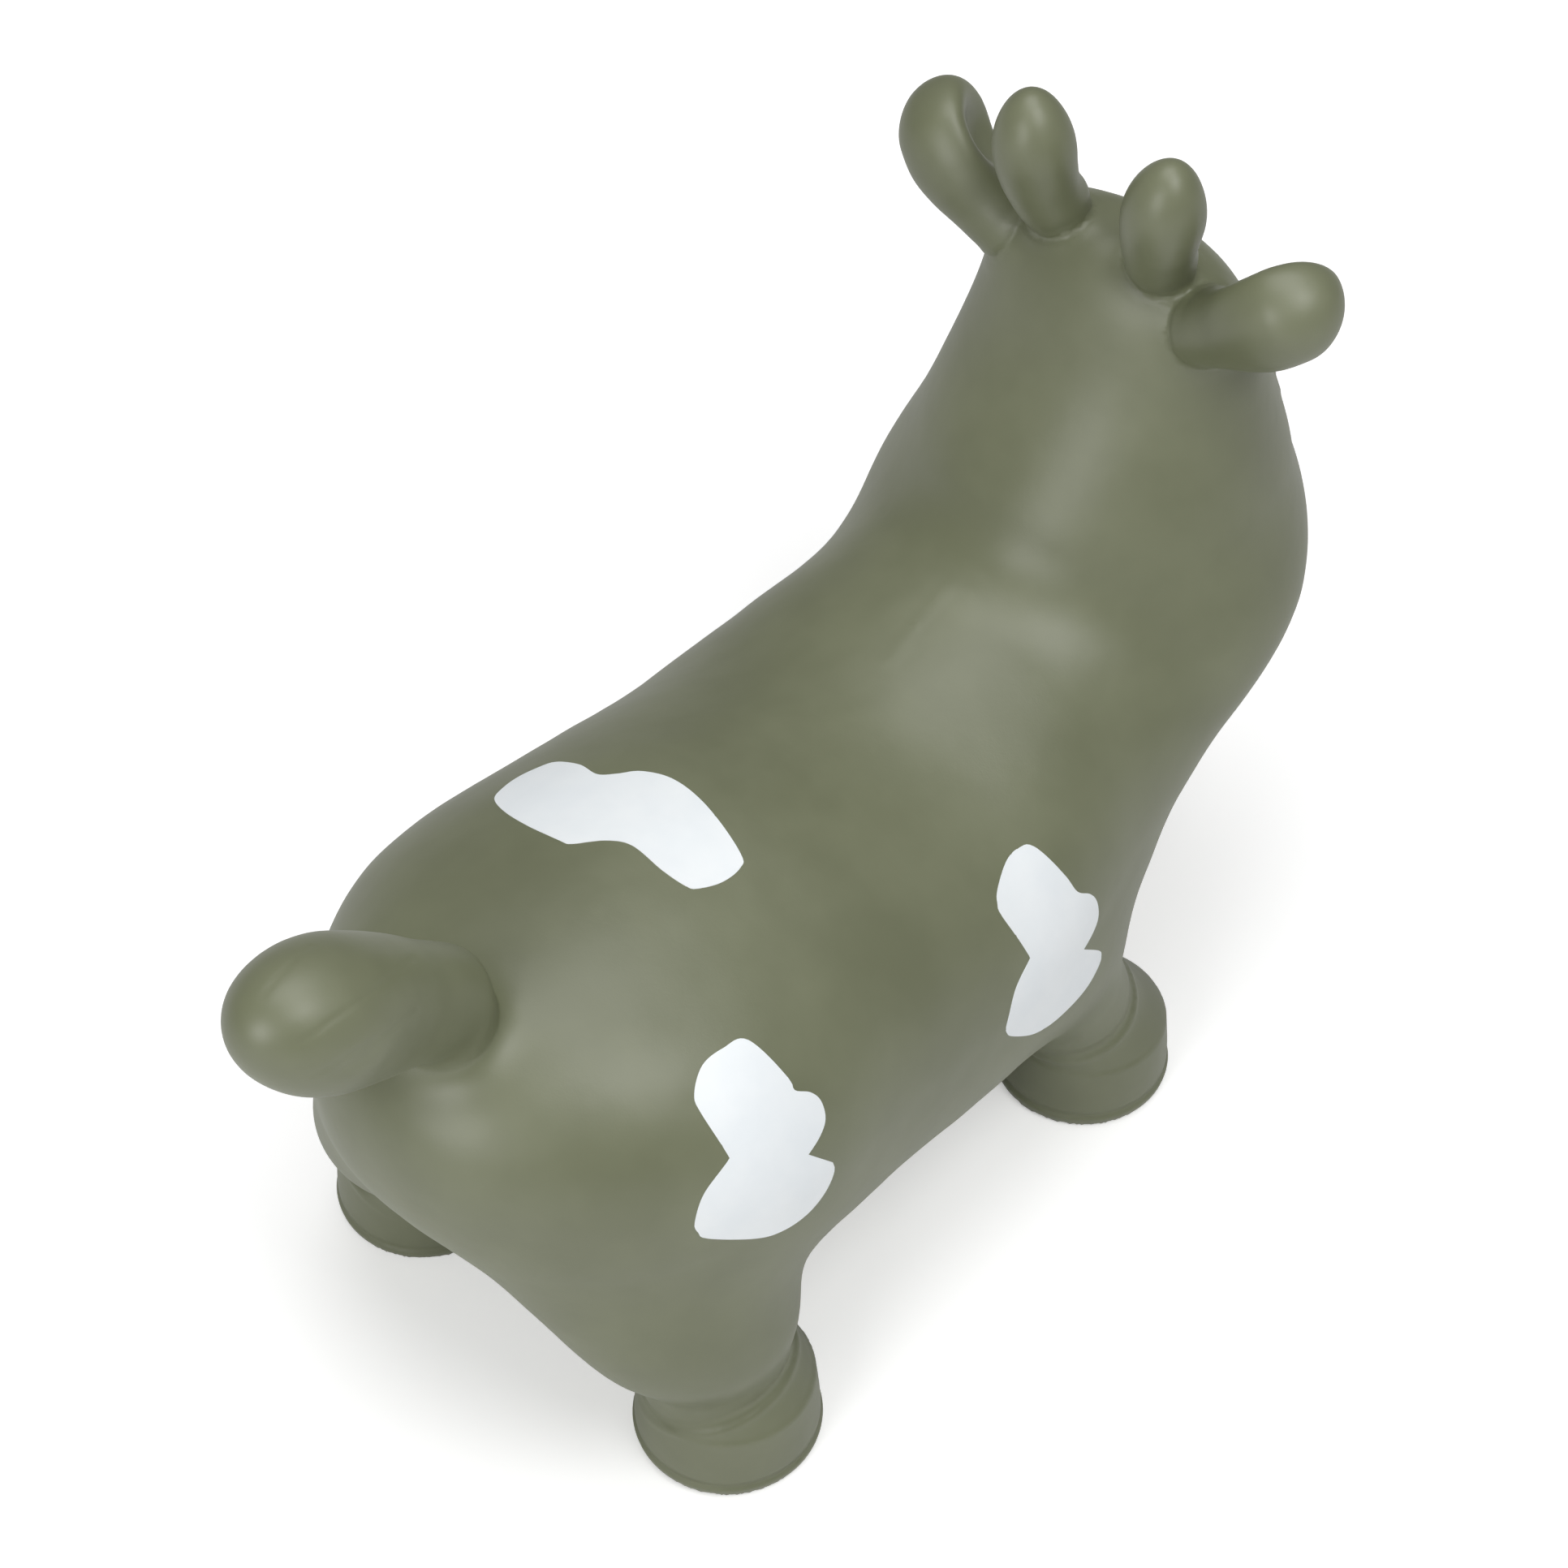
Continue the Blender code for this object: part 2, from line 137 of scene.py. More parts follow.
def trunkPoint(share, angle):
    halfLength = cow["length"] * (trunk["back"] - trunk["front"]) / 2
    middle = cow["length"] * (trunk["back"] + trunk["front"]) / 2
    width, top, bottom, flare = between(trunk["rows"], share)
    power = 2 / (trunk["backRound"] if share > 0 else trunk["frontRound"])
    fade = max(1 - abs(share) ** power, 0) ** (1 / power)
    across, up = math.cos(angle), math.sin(angle)
    if up < 0:
        power = 2 / trunk["lowerRound"]
        size = (abs(across) ** power + abs(up) ** power) ** (-1 / power)
        across, up = across * size, up * size
    across *= 1 + flare * (1 - up) / 2
    height = cow["height"] * (top + bottom + (top - bottom) * fade * up) / 2
    return Vector((width * cow["width"] / 2 * fade * across, middle + share * halfLength, height))


# Neck and head: share up from the foot of the neck to the crown, then the back, the front, half
# the width, and how far the front and the back narrow
neck = {
    "foot": 0.250,
    "crown": 0.867,
    "rows": [
        (0.0, -0.090, -0.312, 0.450, 0.05, 0.00),
        (0.2, -0.105, -0.420, 0.700, 0.04, 0.05),
        (0.4, -0.183, -0.490, 0.780, 0.00, 0.10),
        (0.6, -0.224, -0.486, 0.635, -0.04, 0.12),
        (0.8, -0.281, -0.448, 0.528, -0.03, 0.08),
        (1.0, -0.302, -0.418, 0.520, 0.00, 0.00),
    ],
    "lowest": 0.03,
    "lowFade": 0.22,
    "fade": 0.70,
    "endRound": 0.66,
    "columns": 224,
    "rings": 160,
}


def neckPoint(share, angle):
    back, front, width, frontNarrow, backNarrow = between(neck["rows"], share)
    foot, crown = neck["foot"] * cow["height"], neck["crown"] * cow["height"]
    beyond = max((share - neck["fade"]) / (1 - neck["fade"]), 0)
    fade = max(1 - beyond ** (2 / neck["endRound"]), 0) ** (neck["endRound"] / 2)
    below = max((neck["lowFade"] - share) / (neck["lowFade"] - neck["lowest"]), 0)
    fade *= math.sqrt(max(1 - below * below, 0))
    across, up = math.cos(angle), math.sin(angle)
    across *= 1 - (frontNarrow if up < 0 else backNarrow) * up * up
    middle = cow["length"] * (back + front) / 2
    along = middle + cow["length"] * (back - front) / 2 * fade * up
    return Vector((width * cow["width"] / 2 * fade * across, along, foot + share * (crown - foot)))


# A ball whose points are moved to where place puts their height and their turn
def wrapBall(columns, rings, place):
    shape = bmesh.new()
    bmesh.ops.create_uvsphere(shape, u_segments=columns, v_segments=rings, radius=1)
    for vert in shape.verts:
        vert.co = place(vert.co.z, math.atan2(vert.co.y, vert.co.x))
    if shape.calc_volume(signed=True) < 0:
        bmesh.ops.reverse_faces(shape, faces=shape.faces)
    return shape


def makeTrunk():
    def place(height, angle):
        curve = trunk["backRound"] if height > 0 else trunk["frontRound"]
        return trunkPoint(math.copysign(abs(height) ** curve, height), angle)

    return wrapBall(trunk["columns"], trunk["rings"], place)


def makeNeck():
    def place(height, angle):
        return neckPoint(neck["lowest"] + (1 - neck["lowest"]) * (height + 1) / 2, angle)

    return wrapBall(neck["columns"], neck["rings"], place)


muzzle = {"middle": (0.0, -0.2456, 0.2333), "size": (0.126, 0.110, 0.092), "columns": 96, "rings": 64}


def makeMuzzle():
    shape = bmesh.new()
    half = Vector(muzzle["size"]) / 2
    place = Matrix.Translation(muzzle["middle"]) @ Matrix.Diagonal((*half, 1))
    bmesh.ops.create_uvsphere(
        shape, u_segments=muzzle["columns"], v_segments=muzzle["rings"], radius=1, matrix=place
    )
    return shape


# A closed tube: a circle is extruded ring by ring to where place puts each ring and turn. A round
# end closes on a last ring of this share of the radius.
leastRing = 0.02


def drawOut(columns, rings, place):
    shape = bmesh.new()
    turn = shape.verts.layers.float.new("turn")
    circle = bmesh.ops.create_circle(shape, cap_ends=True, segments=columns, radius=1)["verts"]
    for vert in circle:
        vert[turn] = math.atan2(vert.co.y, vert.co.x)
        vert.co = place(0, vert[turn])
    edges = shape.edges[:]
    for ring in range(1, rings + 1):
        made = bmesh.ops.extrude_edge_only(shape, edges=edges)["geom"]
        verts = {item for item in made if isinstance(item, bmesh.types.BMVert)}
        edges = [e for e in made if isinstance(e, bmesh.types.BMEdge) and verts.issuperset(e.verts)]
        for vert in verts:
            vert.co = place(ring / rings, vert[turn])
    bmesh.ops.edgeloop_fill(shape, edges=edges)
    bmesh.ops.recalc_face_normals(shape, faces=shape.faces)
    return shape


# Legs: each foot and hip as shares of the half width and the length, then radius rows by height
legs = {
    "front": {
        "foot": (0.625, -0.194),
        "hip": (0.420, -0.085),
        "rows": [(0.0, 0.92), (0.15, 0.835), (0.38, 0.94), (0.68, 1.15), (1.0, 1.10)],
    },
    "rear": {
        "foot": (0.688, 0.243),
        "hip": (0.300, 0.274),
        "rows": [(0.0, 0.92), (0.15, 0.885), (0.38, 1.25), (0.68, 1.40), (1.0, 1.25)],
    },
    "hipHeight": 0.333,
    "hoofRadius": 0.0409,
    "hoofHeight": 0.037,
    "hoofRows": [(0.0, 0.985), (0.20, 1.0), (0.45, 0.992), (0.75, 0.968), (1.0, 0.945)],
    "edgeRound": 0.004,
    "columns": 96,
    "rings": 96,
}


def footOf(end, side):
    across, along = legs[end]["foot"]
    return Vector((side * across * cow["width"] / 2, along * cow["length"], 0))


def hipOf(end, side):
    across, along = legs[end]["hip"]
    height = legs["hipHeight"] * cow["height"]
    return Vector((side * across * cow["width"] / 2, along * cow["length"], height))


def makeLeg(end, side):
    foot, hip = footOf(end, side), hipOf(end, side)
    hoofTop = legs["hoofHeight"]
    edge = legs["edgeRound"]
    dome = legs["hoofRadius"] * legs[end]["rows"][-1][1]

    def place(way, angle):
        height = (hip.z + dome) * way
        if height > hip.z:
            radius = dome * max(math.sqrt(max(1 - ((height - hip.z) / dome) ** 2, 0)), leastRing)
            return Vector((hip.x + radius * math.cos(angle), hip.y + radius * math.sin(angle), height))
        if height < hoofTop:
            middle = foot
            (size,) = between(legs["hoofRows"], height / hoofTop)
        else:
            share = (height - hoofTop) / (hip.z - hoofTop)
            middle = foot.lerp(hip, share)
            (size,) = between(legs[end]["rows"], share)
        radius = legs["hoofRadius"] * size
        if height < edge:
            radius -= edge - math.sqrt(edge * edge - (edge - height) ** 2)
        return Vector((middle.x + radius * math.cos(angle), middle.y + radius * math.sin(angle), height))

    return drawOut(legs["columns"], legs["rings"], place)


# Ears, horns and tail: half width, half depth and cup along each, by share of its length
ear = {
    "pivot": (0.0536, -0.2036, 0.3795),
    "leave": (0.80, 0.06, 0.56),
    "heading": (0.755, -0.184, 0.628),
    "cup": (-0.62, -0.57, 0.54),
    "length": 0.068,
    "width": 0.046,
    "depth": 0.049,
    "bend": 0.45,
    "rows": [
        (0.0, 0.33, 0.34, 0.00),
        (0.18, 0.36, 0.38, 0.15),
        (0.36, 0.44, 0.45, 0.55),
        (0.52, 0.50, 0.50, 0.80),
        (0.68, 0.52, 0.50, 0.74),
        (0.84, 0.48, 0.48, 0.40),
        (1.0, 0.44, 0.46, 0.10),
    ],
    "tipShare": 0.70,
    "rings": 60,
    "columns": 72,
}
horn = {
    "pivot": (0.02855, -0.2020, 0.4045),
    "leave": (0.20, 0.60, 0.77),
    "heading": (0.138, 0.150, 0.979),
    "cup": (0.0, -1.0, 0.0),
    "length": 0.0585,
    "width": 0.0365,
    "depth": 0.0365,
    "bend": 0.35,
    "rows": [
        (0.0, 0.42, 0.42, 0.0),
        (0.24, 0.43, 0.43, 0.0),
        (0.42, 0.46, 0.46, 0.0),
        (0.60, 0.49, 0.49, 0.0),
        (0.75, 0.51, 0.51, 0.0),
        (1.0, 0.53, 0.53, 0.0),
    ],
    "tipShare": 0.54,
    "rings": 60,
    "columns": 64,
}
tail = {
    "pivot": (0.0, 0.20356, 0.26650),
    "leave": (0.0, 0.735, 0.678),
    "heading": (0.0, 0.808, 0.589),
    "cup": (0.0, -1.0, 0.0),
    "length": 0.117,
    "width": 0.0605,
    "depth": 0.0605,
    "bend": 0.43,
    "rows": [
        (0.0, 0.38, 0.38, 0.0),
        (0.22, 0.41, 0.41, 0.0),
        (0.38, 0.46, 0.46, 0.0),
        (0.54, 0.50, 0.50, 0.0),
        (0.70, 0.52, 0.52, 0.0),
        (1.0, 0.54, 0.54, 0.0),
    ],
    "tipShare": 0.60,
    "rings": 80,
    "columns": 96,
}
rootDepth = 0.016


# A point and direction on a limb that leaves the skin one way and bends to another
def limbPath(limb, side, share):
    pivot = onSide(limb["pivot"], side)
    leave = onSide(limb["leave"], side).normalized()
    heading = onSide(limb["heading"], side).normalized()
    bend = pivot + leave * limb["length"] * limb["bend"]
    end = pivot + heading * limb["length"]
    near, far = pivot.lerp(bend, share), bend.lerp(end, share)
    return near.lerp(far, share), (far - near).normalized()


def makeLimb(limb, side):
    cupWay = onSide(limb["cup"], side).normalized()
    inner = rootDepth / limb["length"]

    def place(way, angle):
        share = -inner + (1 + inner) * math.sin(way * math.pi / 2)
        middle, direction = limbPath(limb, side, max(share, 0))
        middle = middle + direction * min(share, 0) * limb["length"]
        wide, deep, cup = between(limb["rows"], max(share, 0))
        beyond = max((share - limb["tipShare"]) / (1 - limb["tipShare"]), -min(share, 0) / inner, 0)
        fade = math.sqrt(max(1 - beyond * beyond, 0))
        fade = max(fade, leastRing)
        front = (cupWay - direction * cupWay.dot(direction)).normalized()
        across = math.cos(angle) * wide * limb["width"] * fade
        out = math.sin(angle)
        if out > 0:
            out -= cup * out ** 3
        return middle + front.cross(direction) * across + front * out * deep * limb["depth"] * fade

    return drawOut(limb["columns"], limb["rings"], place)


# The forms that melt into one skin: the trunk with the neck and muzzle, then the legs, which first
# meet each other, and then the limbs. Each has its own softness where it joins.
skin = {"voxel": 0.0032, "quickVoxel": 0.005, "steps": 3, "relax": 3, "reach": 0.045}
soft = {
    "neck": 0.023,
    "muzzle": 0.030,
    "crotch": 0.012,
    "leg": 0.028,
    "tail": 0.021,
    "ear": 0.008,
    "horn": 0.007,
}
sides = (1, -1)
ends = ("front", "rear")
forms = {
    "trunk": [makeTrunk()],
    "neck": [makeNeck()],
    "muzzle": [makeMuzzle()],
    "leg": [makeLeg(end, side) for end in ends for side in sides],
    "tail": [makeLimb(tail, 1)],
    "ear": [makeLimb(ear, side) for side in sides],
    "horn": [makeLimb(horn, side) for side in sides],
}
trees = {name: [BVHTree.FromBMesh(shape) for shape in shapes] for name, shapes in forms.items()}
# Each limb's name, its sizes, its place among the forms of that name, and its side
limbs = [
    ("tail", tail, 0, 1),
    ("ear", ear, 0, 1),
    ("ear", ear, 1, -1),
    ("horn", horn, 0, 1),
    ("horn", horn, 1, -1),
]
print("forms made:", sum(len(shapes) for shapes in forms.values()))


# The signed distance to a form and the way out of it, or None past the reach
def distanceTo(tree, point):
    place, normal, index, gap = tree.find_nearest(point, skin["reach"])
    if place is None:
        return None
    away = point - place
    if gap < tiny:
        return 0.0, normal
    if away.dot(normal) < 0:
        gap = -gap
    return gap, away / gap


def meld(first, second, softness):
    if first is None or second is None:
        return first or second
    inner, outer = (first, second) if first[0] < second[0] else (second, first)
    meet = max(softness - outer[0] + inner[0], 0) / softness
    gap = inner[0] - meet * meet * softness / 4
    return gap, (inner[1] * (1 - meet / 2) + outer[1] * meet / 2).normalized()


# How far a point is outside the melted skin, and the way out
def skinField(point):
    near = {name: [distanceTo(tree, point) for tree in group] for name, group in trees.items()}
    found = meld(near["trunk"][0], near["neck"][0], soft["neck"])
    found = meld(found, near["muzzle"][0], soft["muzzle"])
    feet = None
    for leg in near["leg"]:
        feet = meld(feet, leg, soft["crotch"])
    found = meld(found, feet, soft["leg"])
    for name in ("tail", "ear", "horn"):
        for limb in near[name]:
            found = meld(found, limb, soft[name])
    return found


def settle(verts, steps):
    for vert in verts:
        for step in range(steps):
            found = skinField(vert.co)
            if found is None:
                break
            vert.co -= found[1] * found[0]


def relax(shape, verts, steps):
    bmesh.ops.smooth_vert(shape, verts=verts, factor=0.5, use_axis_x=True, use_axis_y=True, use_axis_z=True)
    settle(verts, steps)


# All the forms in one mesh, remeshed and drawn onto the melted skin
def meltForms():
    joined = bmesh.new()
    for shape in [shape for shapes in forms.values() for shape in shapes]:
        part = bpy.data.meshes.new("form")
        shape.to_mesh(part)
        joined.from_mesh(part)
        bpy.data.meshes.remove(part)
    mesh = bpy.data.meshes.new("forms")
    joined.to_mesh(mesh)
    joined.free()
    item = bpy.data.objects.new("forms", mesh)
    scene.collection.objects.link(item)
    remesh = item.modifiers.new("remesh", "REMESH")
    remesh.mode = "VOXEL"
    remesh.voxel_size = skin["voxel"]
    smoothed = bpy.data.meshes.new_from_object(item.evaluated_get(bpy.context.evaluated_depsgraph_get()))
    shape = bmesh.new()
    shape.from_mesh(smoothed)
    bpy.data.objects.remove(item)
    bpy.data.meshes.remove(mesh)
    bpy.data.meshes.remove(smoothed)
    for turn in range(skin["relax"]):
        relax(shape, shape.verts, skin["steps"] if turn == 0 else 1)
    return shape


whole = meltForms()
print("skin melted:", len(whole.faces), "faces")


# Where the skin carries fine shapes, on the feet, the limbs, the face and the valve, its mesh is cut twice
# as fine, and once more along the soles' rims, the roots of the limbs and the valve
fine = {"footTop": 0.064, "limb": 0.003, "root": 0.007, "rim": (0.004, 0.013), "valve": 0.021}
valve = {"place": (0.0, 0.03142), "top": 0.09}

# The face: its bounds in metres, then its features in millimetres, or in shares of an eye or a nostril
face = {
    "low": 0.17, "high": 0.365, "behind": -0.215, "tip": -0.27,
    "eye": (47.0, -262.0, 322.0), "eyeOut": (0.62, -0.77, 0.14), "eyeSize": (9.0, 12.0),
    "castFrom": 0.05, "eyeReach": 0.03, "eyeDome": 2.6, "domeEnd": 1.1, "domePower": 1.5,
    "lidDepth": 0.8, "lidAt": 1.16, "lidWide": 0.10, "lidLip": 0.5, "lidLipAt": 1.42, "lidLipWide": 0.14,
    "glintSize": (2.2, 2.4), "glintAt": (-2.6, -4.6), "glintProud": 0.09,
    "nostril": (21.0, -298.0, 252.0), "nostrilSize": (5.0, 3.6), "nostrilReach": 3,
    "nostrilDepth": 2.6, "nostrilWide": 0.8,
    "nostrilLip": 0.45, "nostrilLipAt": 1.25, "nostrilLipWide": 0.4,
    "mouth": [(0, -300, 213), (18, -296, 211), (36, -280, 216), (47, -262, 226)],
    "mouthWide": 1.6, "mouthDepth": 1.3,
}


def nearLimb(point, reach):
    for name, limb, index, side in limbs:
        if trees[name][index].find_nearest(point, reach)[0] is not None:
            return True
    return False


def valveGap(point):
    if point.z >= valve["top"]:
        return 1
    return math.hypot(point.x - valve["place"][0], point.y - valve["place"][1])


def nearRoot(point):
    for name, limb, index, side in limbs:
        if name != "tail" and trees[name][index].find_nearest(point, fine["root"])[0] is not None:
            if trees["neck"][0].find_nearest(point, fine["root"])[0] is not None:
                return True
    return False


def onFace(point):
    return point.y < face["behind"] and face["low"] < point.z < face["high"]


def carriesDetail(point):
    onFoot = point.z < fine["footTop"]
    return onFoot or nearLimb(point, fine["limb"]) or valveGap(point) < fine["valve"] or onFace(point)


def carriesFinest(point):
    low, high = fine["rim"]
    return low < point.z < high or valveGap(point) < fine["valve"] or nearRoot(point)


def refine(shape, wanted):
    chosen = {vert for vert in shape.verts if wanted(vert.co)}
    edges = [edge for edge in shape.edges if edge.verts[0] in chosen and edge.verts[1] in chosen]
    bmesh.ops.subdivide_edges(shape, edges=edges, cuts=1, use_grid_fill=True)
    relax(shape, [vert for vert in shape.verts if wanted(vert.co)], 1)


refine(whole, carriesDetail)
refine(whole, carriesFinest)
print("skin refined:", len(whole.faces), "faces")


# Fine shapes of the moulding, in millimetres: a sole's rim, the ring at the top of each hoof, the
# groove at each limb's root with the lip beside it, folds and creases, and the skin's slight waves
hoof = {
    "reach": 0.065, "top": 0.09, "outer": (-0.75, 0.25),
    "rimTop": 7.4, "rimOut": 1.0, "rimSoft": 1.4, "nick": 0.35, "nickUp": 1.0, "nickWide": 1.3,
    "ring": {"front": 52.0, "rear": 39.0}, "ringTilt": 0.35,
    "lip": 0.75, "lipWide": 1.9, "hollow": 1.1, "hollowUp": 5.0, "hollowWide": 4.2,
}
root = {
    "reach": 0.012, "grooveFade": 5.0, "lipFade": 4.0,
    "ear": {"groove": 0.9, "wide": 2.52, "lip": 0.30, "lipAt": 5.5, "lipWide": 2.52},
    "horn": {"groove": 0.8, "wide": 2.1, "lip": 0.55, "lipAt": 5.0, "lipWide": 2.24},
    "tail": {"groove": 0.5, "wide": 4.2, "lip": 0.0, "lipAt": 8.0, "lipWide": 4.2},
}
waves = [{"size": 42.0, "depth": 0.55}, {"size": 17.0, "depth": 0.16}, {"size": 6.0, "depth": 0.035}]
sole = {"calm": (0.004, 0.02), "flat": 0.0012, "facing": -0.7}

# Fine folds and a dimple on the tail, then the low fold where the neck leaves the back
creases = [
    {
        "path": [(-7.8, 223.5, 312.6), (-17, 250.3, 328.7), (-18.4, 269.5, 333.4), (-15.9, 286.8, 332)],
        "wide": 1.1, "depth": 0.32,
    },
    {
        "path": [(-22.9, 236.5, 310.3), (-26.6, 256.7, 318.8), (-26, 272.3, 321.2), (-22, 285.8, 319.1)],
        "wide": 1.1, "depth": 0.28,
    },
    {
        "path": [(4.6, 258.2, 337.7), (1.7, 271.8, 341.1), (-0.5, 284.8, 340.3)],
        "wide": 1.1, "depth": 0.25,
    },
    {
        "path": [(-27.6, 264, 316), (-27.6, 274, 316)],
        "wide": 5.0, "depth": 0.9,
    },
    {
        "path": [(-1, -66, 250.5), (1, -84, 255), (2, -108, 263), (-8, -118, 267)],
        "wide": 2.2, "depth": -0.35,
    },
]
creaseReach = 0.08
pathSteps = 24


def hill(value, middle, wide):
    return math.exp(-(((value - middle) / wide) ** 2))


def footRelief(point):
    lift = 0.0
    for end in ends:
        for side in sides:
            foot, hip = footOf(end, side), hipOf(end, side)
            away = Vector((point.x - foot.x, point.y - foot.y, 0))
            if away.length > hoof["reach"] or point.z > hoof["top"]:
                continue
            height = point.z / mm
            lift += hoof["rimOut"] * (1 - smooth(hoof["rimTop"] - hoof["rimSoft"], hoof["rimTop"], height))
            lift -= hoof["nick"] * hill(height, hoof["rimTop"] + hoof["nickUp"], hoof["nickWide"])
            lean = Vector((hip.x - foot.x, hip.y - foot.y, 0)).normalized()
            above = height - hoof["ring"][end] + hoof["ringTilt"] * away.dot(lean) / mm
            outer = smooth(*hoof["outer"], away.normalized().x * side) if away.length > mm else 0
            lift += hoof["lip"] * outer * hill(above, 0, hoof["lipWide"])
            lift -= hoof["hollow"] * outer * hill(above, hoof["hollowUp"], hoof["hollowWide"])
    return lift


def rootRelief(point):
    lift = 0.0
    for name, limb, index, side in limbs:
        own = distanceTo(trees[name][index], point)
        base = distanceTo(trees["trunk" if name == "tail" else "neck"][0], point)
        if own is None or base is None:
            continue
        sizes = root[name]
        past = (own[0] - base[0]) / mm
        inCorner = hill(max(own[0], base[0], 0) / mm, 0, root["grooveFade"])
        lift -= sizes["groove"] * inCorner * hill(past, 0, sizes["wide"])
        onBase = hill(max(base[0], 0) / mm, 0, root["lipFade"])
        lift += sizes["lip"] * onBase * hill(past, sizes["lipAt"], sizes["lipWide"])
    return lift


# A crease's path in short steps on the skin
def drawPath(places):
    rows = [(index / (len(places) - 1), *place) for index, place in enumerate(places)]
    path = [Vector(between(rows, step / pathSteps)) * mm for step in range(pathSteps + 1)]
    for index, point in enumerate(path):
        for step in range(skin["steps"]):
            gap, out = skinField(point)
            point = point - out * gap
        path[index] = point
    return path


paths = [(drawPath(crease["path"]), crease["wide"], crease["depth"]) for crease in creases]
for side in sides:
    mouth = drawPath([onSide(place, side) for place in face["mouth"]])
    paths.append((mouth, face["mouthWide"], face["mouthDepth"]))

# Each eye's middle on the skin, with the ways out, across and up from it
eyes = []
smoothTree = BVHTree.FromBMesh(whole)
for side in sides:
    out = onSide(face["eyeOut"], side).normalized()
    place = smoothTree.ray_cast(onSide(face["eye"], side) * mm + out * face["castFrom"], -out)[0]
    across = Vector((0, 0, 1)).cross(out).normalized()
    eyes.append((place, out, across, out.cross(across)))


def faceRelief(point):
    lift = 0.0
    for place, out, across, up in eyes:
        away = point - place
        if away.length > face["eyeReach"]:
            continue
        wide, high = face["eyeSize"]
        past = math.hypot(away.dot(across) / mm / wide, away.dot(up) / mm / high)
        lift += face["eyeDome"] * (1 - smooth(0.0, face["domeEnd"], past) ** face["domePower"])
        lift -= face["lidDepth"] * hill(past, face["lidAt"], face["lidWide"])
        lift += face["lidLip"] * hill(past, face["lidLipAt"], face["lidLipWide"])
    for side in sides:
        away = point / mm - onSide(face["nostril"], side)
        past = math.hypot(away.x / face["nostrilSize"][0], away.z / face["nostrilSize"][1])
        if past < face["nostrilReach"] and point.y < face["tip"]:
            lift += face["nostrilLip"] * hill(past, face["nostrilLipAt"], face["nostrilLipWide"])
            lift -= face["nostrilDepth"] * hill(past, 0, face["nostrilWide"])
    return lift


def creaseRelief(point):
    lift = 0.0
    for path, wide, depth in paths:
        if (path[pathSteps // 2] - point).length > creaseReach:
            continue
        gap = 1.0
        for start, stop in zip(path, path[1:]):
            along = stop - start
            share = min(max((point - start).dot(along) / along.length_squared, 0), 1)
            gap = min(gap, (point - start.lerp(stop, share)).length)
        lift -= depth * hill(gap / mm, 0, wide)
    return lift


def relief(point):
    lift = sum(wave["depth"] * noise.noise(point / (wave["size"] * mm)) for wave in waves)
    lift *= smooth(*sole["calm"], point.z)
    lift += footRelief(point) + creaseRelief(point)
    if onFace(point):
        lift += faceRelief(point)
    if nearLimb(point, root["reach"]):
        lift += rootRelief(point)
    return lift * mm


# A point drawn onto the finished skin, and the way out there
def onSkin(point, proud=0.0):
    place = point.copy()
    for step in range(skin["steps"]):
        gap, out = skinField(place)
        place -= out * gap
    return place + out * (relief(place) + proud), out


def shapeSkin(shape):
    moves = []
    for vert in shape.verts:
        found = skinField(vert.co)
        moves.append(found[1] * relief(vert.co))
    for vert, move in zip(shape.verts, moves):
        vert.co += move
    for vert in shape.verts:
        if vert.co.z < sole["flat"]:
            vert.co.z = 0 if vert.normal.z < sole["facing"] else max(vert.co.z, 0)
    shape.normal_update()


shapeSkin(whole)
print("fine shapes moulded")


# The valve's opening: the skin is drawn in behind the seat's flange
recess = {"radius": 12.6, "soft": 1.8, "depth": 15.0, "reach": 20.0, "guess": 0.065}
belly = onSkin(Vector((*valve["place"], recess["guess"])))[0].z
for vert in whole.verts:
    gap = valveGap(vert.co) / mm
    if gap < recess["reach"]:
        drawn = 1 - smooth(recess["radius"] - recess["soft"], recess["radius"], gap)
        vert.co.z += recess["depth"] * mm * drawn
whole.normal_update()


# Seams, hidden in the smooth skin, where a piece that moves leaves the torso. A leg's seam is tilted
# along the belly, and a limb's lies across it a little above its root.
seams = {
    "shared": 0.002,
    "tipUp": 0.01,
    "leg": {"through": (0.1, 0.0835), "tilt": 25, "bend": 0.0498, "reach": (0.07, 0.09), "top": 0.13},
    "ear": {"up": 0.011, "bend": 0.045, "reach": 0.034, "body": ("left_ear", "right_ear")},
    "horn": {"up": 0.010, "bend": 0.043, "reach": 0.030, "body": ("left_horn", "right_horn")},
    "tail": {"up": 0.014, "bend": 0.085, "reach": 0.048, "body": ("tail_stub",)},
}


def legSeam(end, side):
    tilt = math.radians(seams["leg"]["tilt"])
    out, up = seams["leg"]["through"]
    place = Vector((side * out, footOf(end, side).y, up))
    return place, Vector((-side * math.sin(tilt), 0, math.cos(tilt)))


def limbSeam(name, limb, side):
    pivot = onSide(limb["pivot"], side)
    leave = onSide(limb["leave"], side).normalized()
    base = trees["trunk" if name == "tail" else "neck"][0]
    normal = (base.find_nearest(pivot)[1] + leave).normalized()
    return pivot + normal * seams[name]["up"], normal


def cutSkin(shape, place, normal, belongs):
    faces = [item for item in shape.faces if belongs(item.calc_center_median())]
    geometry = set(faces)
    for item in faces:
        geometry.update(item.edges)
        geometry.update(item.verts)
    made = bmesh.ops.bisect_plane(shape, geom=list(geometry), dist=tiny, plane_co=place, plane_no=normal)
    for item in made["geom_cut"]:
        if isinstance(item, bmesh.types.BMEdge):
            item.seam = True


